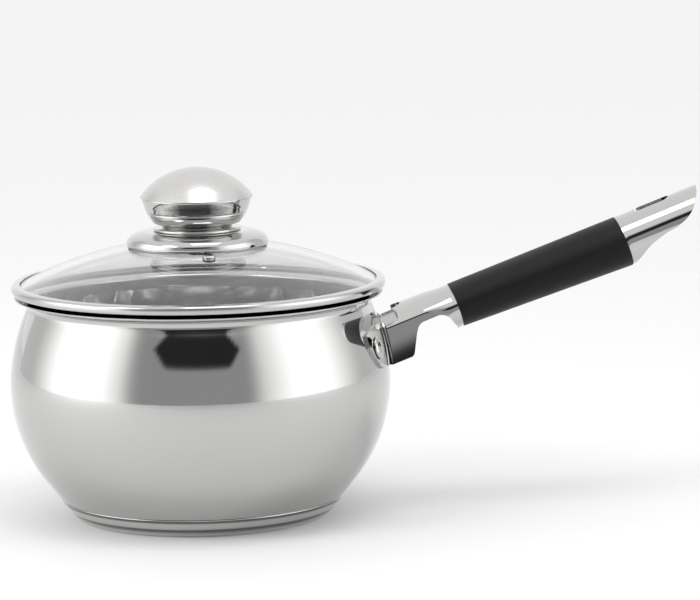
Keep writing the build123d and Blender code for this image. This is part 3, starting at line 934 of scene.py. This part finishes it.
def cut_hanging_slot(piece):
    """Cuts the rounded slot through the handle's crown."""
    half_run = (SLOT_LENGTH - SLOT_WIDTH) / 2
    ring = []
    for step in range(64):
        angle = 2 * pi * step / 64
        run = half_run if cos(angle) > 0 else -half_run
        ring.append((SLOT_CENTRE + run + SLOT_WIDTH / 2 * cos(angle), SLOT_WIDTH / 2 * sin(angle)))
    points = [crown_point(along, across, above) for above in (-5, 5) for along, across in ring]
    count = len(ring)
    faces = [(step, (step + 1) % count, count + (step + 1) % count, count + step) for step in range(count)]
    faces += [tuple(range(count))[::-1], tuple(range(count, 2 * count))]
    mesh = bpy.data.meshes.new("slot_cutter")
    mesh.from_pydata([[value * MM for value in point] for point in points], [], faces)
    cutter = bpy.data.objects.new("slot_cutter", mesh)
    bpy.context.scene.collection.objects.link(cutter)
    cut = piece.modifiers.new("hanging_slot", "BOOLEAN")
    cut.object = cutter
    cut.operation = "DIFFERENCE"
    cut.solver = "EXACT"
    whole = piece.evaluated_get(bpy.context.evaluated_depsgraph_get())
    finished = bpy.data.meshes.new_from_object(whole)
    piece.modifiers.remove(cut)
    piece.data = finished
    bpy.data.objects.remove(cutter)
    finished.set_sharp_from_angle(angle=radians(SHARP_ANGLE))


channel = thick_sheet("handle_bent_sheet", handle_rows(), HANDLE_SHEET)
cut_hanging_slot(channel)
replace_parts(channel, "handle_channel")
for tab_name, side in (("handle_tab_front", -1), ("handle_tab_rear", 1)):
    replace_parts(thick_sheet(tab_name, tab_rows(side), HANDLE_SHEET), "handle_channel")


# ---------------------------------------------------------------- finishes of the other pieces
NODE_FINISH = {
    "rivet_front": MIRROR,
    "rivet_rear": MIRROR,
    "vent_eyelet": MIRROR,
    "knob_insert": ALUMINIUM,
    "knob_screw": SATIN,
    "screw_washer": SATIN,
    "gasket_under": SILICONE,
    "gasket_top": SILICONE,
}
for node_name, finish in NODE_FINISH.items():
    for material_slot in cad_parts[node_name].material_slots:
        material_slot.material = finish


# ---------------------------------------------------------------- camera
AIM = Vector((0.070, 0.0, 0.097))
CAMERA_SIDE = radians(4.81)  # how far the line of sight turns from +Y towards +X
CAMERA_HEIGHT = radians(8.49)
CAMERA_DISTANCE = 1.7503
CAMERA_ROLL = radians(-1.03)

sight = Vector((
    sin(CAMERA_SIDE) * cos(CAMERA_HEIGHT),
    cos(CAMERA_SIDE) * cos(CAMERA_HEIGHT),
    -sin(CAMERA_HEIGHT),
))
camera_data = bpy.data.cameras.new("camera")
camera_data.lens = 194.3
camera_data.sensor_width = 36
camera_data.sensor_fit = "HORIZONTAL"
camera = bpy.data.objects.new("camera", camera_data)
bpy.context.scene.collection.objects.link(camera)
turn = sight.to_track_quat("-Z", "Y").to_matrix().to_4x4() @ Matrix.Rotation(CAMERA_ROLL, 4, "Z")
camera.matrix_world = Matrix.Translation(AIM - sight * CAMERA_DISTANCE) @ turn
bpy.context.scene.camera = camera

# ---------------------------------------------------------------- studio
PAN_MIDDLE = 0.07


def around_object(azimuth, elevation, distance):
    """Place in metres; azimuth 0 is towards the viewer and 90 is to the viewer's right."""
    turned = radians(azimuth) - CAMERA_SIDE
    return (
        distance * sin(turned),
        -distance * cos(turned),
        PAN_MIDDLE + distance * tan(radians(elevation)),
    )


def soft_box(azimuth, elevation, azimuths, elevations, softness):
    """Share of a soft light's full strength at a place on the studio wall."""
    across = soft_step(azimuth, azimuths[0], softness) - soft_step(azimuth, azimuths[1], softness)
    up = soft_step(elevation, elevations[0], 4) - soft_step(elevation, elevations[1], 5)
    return across * up


def wall_glow(azimuth, elevation):
    """Brightness of the studio wall: two tall soft boxes with a grey room between them."""
    grey = 0.80 - 0.36 * soft_box(azimuth, elevation, (-42, 36), (-20, 34), 12)
    left = 1.6 * soft_box(azimuth, elevation, (-100, -50), (-8, 36), 40)
    right = 1.3 * soft_box(azimuth, elevation, (46, 96), (-8, 36), 40)
    hood = soft_box(azimuth, elevation, (-27 + abs(elevation - 27), 28 - abs(elevation - 27)), (19, 36), 3)
    return (grey + left + right) * (1 - 0.93 * hood)


def glowing_card(name, points, faces, glows):
    """Card that the metal and the glass reflect and the camera does not see."""
    mesh = bpy.data.meshes.new(name)
    mesh.from_pydata(points, [], faces)
    attribute = mesh.attributes.new("glow", "FLOAT", "POINT")
    attribute.data.foreach_set("value", glows)
    material = bpy.data.materials.new(name)
    material.use_nodes = True
    tree = material.node_tree
    tree.nodes.clear()
    strength = add_node(tree, "ShaderNodeAttribute", attribute_name="glow")
    glow = add_node(tree, "ShaderNodeEmission", {"Strength": strength.outputs["Fac"]})
    add_node(tree, "ShaderNodeOutputMaterial", {"Surface": glow.outputs["Emission"]})
    mesh.materials.append(material)
    card = bpy.data.objects.new(name, mesh)
    bpy.context.scene.collection.objects.link(card)
    card.visible_camera = False
    card.visible_shadow = False
    return card


def studio_wall():
    """Curved wall round the front and the sides, bright where the soft boxes hang."""
    azimuths = range(-134, 137, 2)
    elevations = [-3.5 + step * 1.25 for step in range(36)]
    points = []
    glows = []
    for azimuth in azimuths:
        for elevation in elevations:
            points.append(around_object(azimuth, elevation, 1.0))
            glows.append(wall_glow(azimuth, elevation))
    rows = len(elevations)
    faces = []
    for column in range(len(azimuths) - 1):
        for row in range(rows - 1):
            corner = column * rows + row
            faces.append((corner, corner + rows, corner + rows + 1, corner + 1))
    glowing_card("studio_wall", points, faces, glows)


def overhead_light(name, middle, half_width, half_depth, strength):
    """Flat soft light above the object."""
    x, y, z = middle
    points = [
        (x - half_width, y - half_depth, z),
        (x + half_width, y - half_depth, z),
        (x + half_width, y + half_depth, z),
        (x - half_width, y + half_depth, z),
    ]
    glowing_card(name, points, [(0, 1, 2, 3)], [strength] * 4)


studio_wall()
overhead_light("overhead_right", (0.14, -0.24, 1.10), 0.26, 0.20, 4.0)
overhead_light("overhead_left", (-0.80, -0.50, 0.85), 0.26, 0.20, 6.0)

floor_mesh = bpy.data.meshes.new("floor")
floor_mesh.from_pydata([(-6, -6, 0), (6, -6, 0), (6, 6, 0), (-6, 6, 0)], [], [(0, 1, 2, 3)])
floor_finish, floor_tree, floor_shader = new_material("white_matt_floor")
floor_shader.inputs["Base Color"].default_value = linear("#E9E9E9")
floor_shader.inputs["Roughness"].default_value = 0.7
floor_mesh.materials.append(floor_finish)
floor = bpy.data.objects.new("floor", floor_mesh)
bpy.context.scene.collection.objects.link(floor)

bpy.context.scene.view_settings.view_transform = "Standard"

world = bpy.data.worlds.new("studio")
bpy.context.scene.world = world
world.use_nodes = True
world.node_tree.nodes["Background"].inputs["Color"].default_value = (1, 1, 1, 1)
world.node_tree.nodes["Background"].inputs["Strength"].default_value = 1.08
